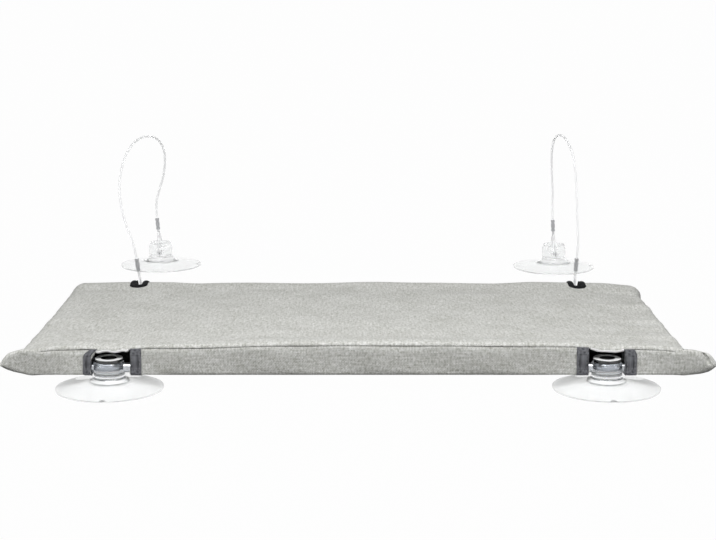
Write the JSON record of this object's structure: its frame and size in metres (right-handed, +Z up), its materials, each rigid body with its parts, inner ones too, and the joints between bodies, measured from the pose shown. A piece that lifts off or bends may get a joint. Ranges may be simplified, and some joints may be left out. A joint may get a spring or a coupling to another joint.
{
  "type": "window cat perch",
  "caption": "Stuffed fabric deck on a steel frame, with suction cups on its near rail and cables from its far rail to upper cups. Lies on a table as sold.",
  "frame": {"origin": "on the table, at the middle of the box round everything but the cables, their eyes and their ferrules", "axes": "+X along the rails, +Y from the near (window) rail to the far rail, +Z up"},
  "size_m": [0.5606, 0.5772, 0.1531],
  "materials": {
    "clear_pvc": "clear glossy moulded soft PVC",
    "steel_tube": "bright zinc-plated tube",
    "elbow_plastic": "moulded nylon",
    "cover_fabric": "pale grey melange linen weave",
    "binding_tape": "dark grey woven tape",
    "foam": "white polyurethane foam",
    "hook_and_loop": "grey hook-and-loop tape",
    "cable_wire": "steel cable in a clear plastic coat",
    "ferrule_metal": "crimped dull grey sleeve"
  },
  "bodies": {
    "perch": {"near_rail": "steel_tube", "far_rail": "steel_tube", "side_rail_left": "steel_tube", "side_rail_right": "steel_tube", "elbow_near_left": "elbow_plastic", "elbow_near_right": "elbow_plastic", "elbow_far_right": "elbow_plastic", "elbow_far_left": "elbow_plastic", "top_panel": "cover_fabric", "bottom_panel_near": "cover_fabric", "bottom_panel_far": "cover_fabric", "near_band_left": "cover_fabric", "near_band_middle": "cover_fabric", "near_band_right": "cover_fabric", "closure_flap": "cover_fabric", "near_binding_left_outer": "binding_tape", "near_binding_left_inner": "binding_tape", "near_binding_right_outer": "binding_tape", "near_binding_right_inner": "binding_tape", "cable_binding_left": "binding_tape", "cable_binding_right": "binding_tape", "foam_pad": "foam", "closure_loop_tape": "hook_and_loop", "closure_hook_tape": "hook_and_loop"},
    "near_cup_left": {"near_cup_left": "clear_pvc"},
    "cable_left": {"cable_left": "cable_wire", "rail_eye_left": "cable_wire", "rail_ferrule_left": "ferrule_metal", "cup_eye_left": "cable_wire", "cup_ferrule_left": "ferrule_metal"},
    "upper_cup_left": {"upper_cup_left": "clear_pvc"},
    "near_cup_right": {"near_cup_right": "clear_pvc"},
    "cable_right": {"cable_right": "cable_wire", "rail_eye_right": "cable_wire", "rail_ferrule_right": "ferrule_metal", "cup_eye_right": "cable_wire", "cup_ferrule_right": "ferrule_metal"},
    "upper_cup_right": {"upper_cup_right": "clear_pvc"}
  },
  "joints": [
    {"name": "near_cup_left_turn", "type": "hinge", "parent": "perch", "child": "near_cup_left", "pos_m": [-0.1958, -0.2461, 0.017], "axis": [1, 0, 0], "range_deg": [-90, 0]},
    {"name": "cable_left_swing", "type": "hinge", "parent": "perch", "child": "cable_left", "pos_m": [-0.2032, 0.03771, 0.00667], "axis": [1, 0, 0], "range_deg": [-90, 40]},
    {"name": "upper_cup_left_turn", "type": "hinge", "parent": "cable_left", "child": "upper_cup_left", "pos_m": [-0.2102, 0.2461, 0.0142], "axis": [0, 1, 0], "range_deg": [-85, 85]},
    {"name": "near_cup_right_turn", "type": "hinge", "parent": "perch", "child": "near_cup_right", "pos_m": [0.1958, -0.2461, 0.017], "axis": [1, 0, 0], "range_deg": [-90, 0]},
    {"name": "cable_right_swing", "type": "hinge", "parent": "perch", "child": "cable_right", "pos_m": [0.2036, 0.03771, 0.00667], "axis": [1, 0, 0], "range_deg": [-90, 40]},
    {"name": "upper_cup_right_turn", "type": "hinge", "parent": "cable_right", "child": "upper_cup_right", "pos_m": [0.2074, 0.2345, 0.0142], "axis": [0, 1, 0], "range_deg": [-85, 85]}
  ]
}
